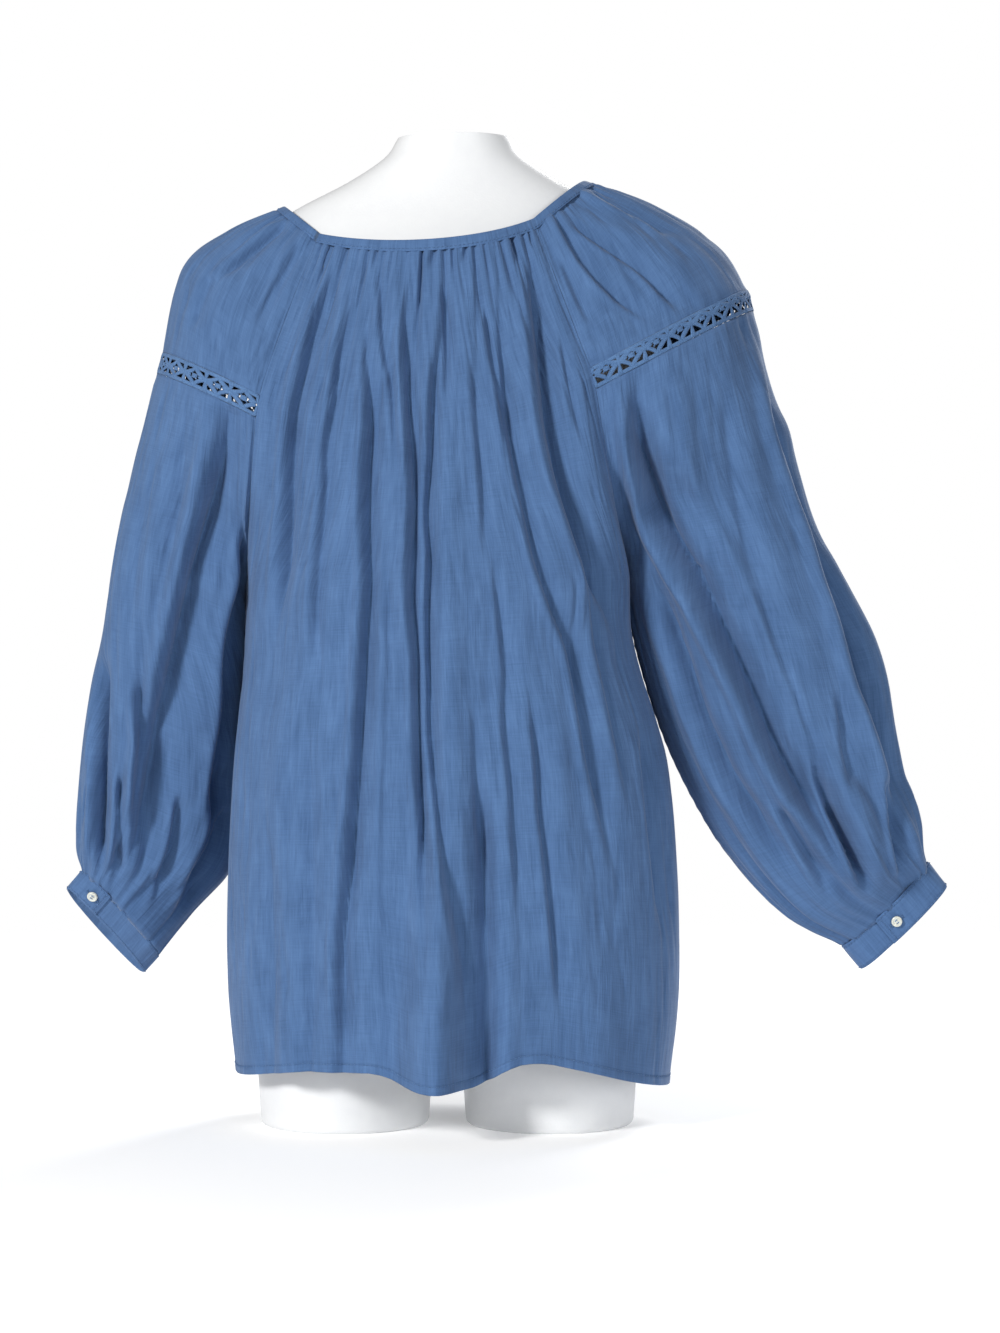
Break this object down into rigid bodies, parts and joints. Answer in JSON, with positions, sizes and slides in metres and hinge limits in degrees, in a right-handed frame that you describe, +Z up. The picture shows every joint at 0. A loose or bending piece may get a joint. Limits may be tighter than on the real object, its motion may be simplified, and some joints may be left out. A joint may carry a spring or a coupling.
{
  "type": "peasant blouse on a dress form",
  "caption": "Raglan peasant blouse of crinkled blue cotton, gathered neck, lace sleeve insertions and full cuffed sleeves, on a white torso dress form that stands on its thighs.",
  "frame": {"origin": "on the standing surface, under the middle of the part's box", "axes": "+Z up; the form faces -Y, so the blouse's back faces +Y; the form's left side is +X"},
  "size_m": [0.7308, 0.301, 0.804],
  "materials": {
    "cotton": "matte crinkled slub cotton, faintly see-through",
    "lace": "matte openwork cotton lace",
    "pearl": "soft pearl gloss",
    "plastic": "smooth satin white moulding"
  },
  "bodies": {
    "root": {"back": "cotton", "front": "cotton", "sleeve_top_left": "cotton", "sleeve_top_right": "cotton", "lace_left": "lace", "lace_right": "lace", "sleeve_left": "cotton", "sleeve_right": "cotton", "cuff_left": "cotton", "cuff_right": "cotton", "neck_binding": "cotton", "button_left": "pearl", "button_right": "pearl", "dress_form": "plastic"}
  },
  "joints": []
}
